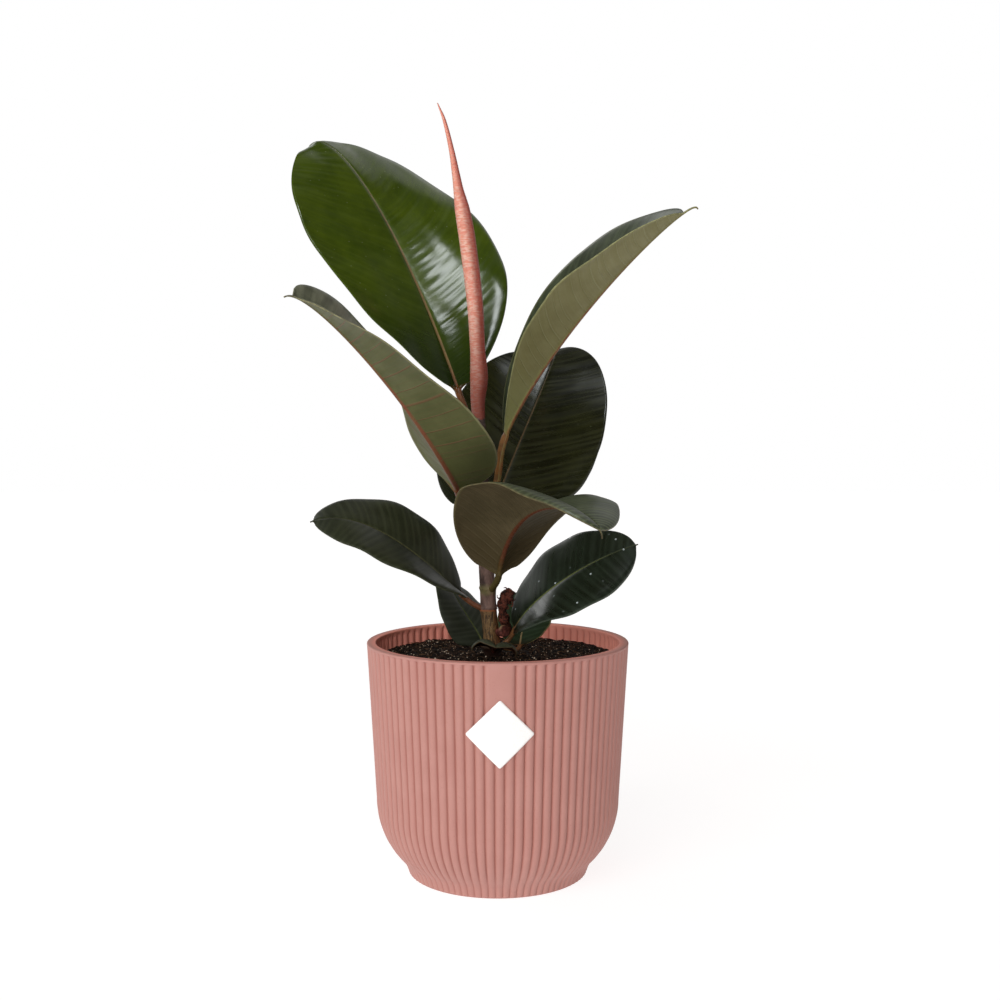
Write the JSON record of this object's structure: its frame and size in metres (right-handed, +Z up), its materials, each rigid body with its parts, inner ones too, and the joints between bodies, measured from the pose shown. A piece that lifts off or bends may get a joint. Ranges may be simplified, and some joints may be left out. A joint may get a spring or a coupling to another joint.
{
  "type": "potted rubber plant",
  "caption": "Young rubber plant with broad glossy leaves and a pink bud sheath, growing in soil in a fluted, tapered, round-bottomed indoor pot.",
  "frame": {"origin": "centre of the flat underside of the pot", "axes": "+Z up along the pot's axis, -Y towards the front of the pot, where the label is"},
  "size_m": [0.2054, 0.1997, 0.4053],
  "materials": {
    "pot": "dusty pink, satin moulded plastic",
    "label": "blank white coated paper",
    "soil": "dark crumbly potting soil with fibres and pale grains",
    "bark": "thin brown and green bark with ring scars",
    "sheath": "salmon pink, finely wrinkled",
    "dried": "dead, dry, dark brown",
    "leaf_green": "glossy upper face, satin underside",
    "leaf_olive": "olive underside to the front, glossy upper face",
    "leaf_dark": "very dark green, glossy"
  },
  "bodies": {
    "root": {"pot": "pot", "label": "label", "soil": "soil", "stem": "bark", "bud_sheath": "sheath", "dried_shoot": "dried", "leaf_top_left": "leaf_green", "leaf_left": "leaf_olive", "leaf_right": "leaf_olive", "leaf_back_right": "leaf_dark", "leaf_front": "leaf_olive", "leaf_lower_left": "leaf_dark", "leaf_lower_right": "leaf_dark", "leaf_low_back_left": "leaf_dark", "leaf_low_back_right": "leaf_dark", "leaf_low_front": "leaf_dark"}
  },
  "joints": []
}
